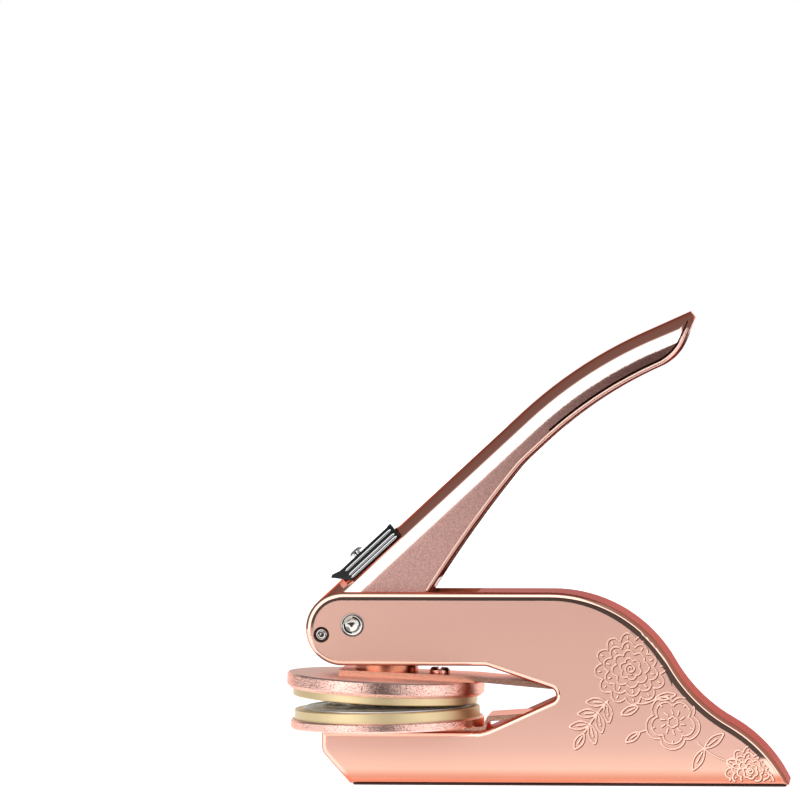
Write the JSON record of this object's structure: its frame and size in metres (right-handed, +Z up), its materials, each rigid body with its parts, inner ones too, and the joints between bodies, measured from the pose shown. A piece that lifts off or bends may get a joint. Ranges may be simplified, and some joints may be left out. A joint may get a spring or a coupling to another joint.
{
  "type": "seal embosser",
  "caption": "Hand-held desk embosser: a long hollow lever presses a round spring-mounted die onto a counter-die in an open-throated cast body.",
  "frame": {"origin": "middle of the bounding box in X and Y, on the base's underside", "axes": "+X from the nose towards the tail, +Z up, -Y the side with the relief; the lever swings in the XZ plane"},
  "size_m": [0.1301, 0.0512, 0.1216],
  "materials": {
    "rose_gold_casting": "satin rose-gold plate with polished rims",
    "rose_gold_lever": "rose-gold plate, polished crown and finely blasted sides",
    "rose_gold_strip": "rose-gold plated spring strip with sheared edges",
    "rose_gold_disc": "rose-gold plated steel, rough edge",
    "die_brass": "turned brass",
    "counter_resin": "matt grey cast resin",
    "copper_boss": "copper plated, turned",
    "bright_steel": "bright nickel plate",
    "latch_chrome": "polished chrome",
    "zinc_steel": "bright zinc plate",
    "base_rubber": "matt black sheet"
  },
  "bodies": {
    "frame": {"frame_casting": "rose_gold_casting", "base_plate": "zinc_steel", "base_screws": "zinc_steel", "base_pad": "base_rubber", "hinge_rivet": "bright_steel", "hinge_washers": "bright_steel", "stop_pin": "bright_steel", "spring_clip": "rose_gold_strip", "lower_disc": "rose_gold_disc", "lower_disc_rivets": "bright_steel", "lower_die": "die_brass", "counter_die": "counter_resin"},
    "upper_jaw": {"clip_upper_leaf": "rose_gold_strip", "upper_disc": "rose_gold_disc", "upper_die": "die_brass", "engraved_die": "die_brass", "disc_screw": "rose_gold_disc", "pressure_boss": "copper_boss", "boss_screw": "bright_steel"},
    "lever": {"lever_casting": "rose_gold_lever", "hinge_bush": "die_brass"},
    "latch": {"latch_slide": "latch_chrome", "latch_rivet": "latch_chrome", "latch_plate": "bright_steel"}
  },
  "joints": [
    {"name": "lever_swing", "type": "hinge", "parent": "frame", "child": "lever", "pos_m": [-0.04695, 0, 0.0412], "axis": [0, 1, 0], "range_deg": [0, 18]},
    {"name": "jaw_close", "type": "hinge", "parent": "frame", "child": "upper_jaw", "pos_m": [-0.0098, 0, 0.0206], "axis": [0, -1, 0], "range_deg": [0, 3.6], "stiffness_Nm_per_rad": 8, "springref_deg": -5.73},
    {"name": "latch_shift", "type": "slide", "parent": "lever", "child": "latch", "axis": [-0.7361, 0, -0.6769], "range_m": [0, 0.004]}
  ],
  "couplings": [
    {"joint": "jaw_close", "follows": "lever_swing", "ratio": 0.2}
  ]
}
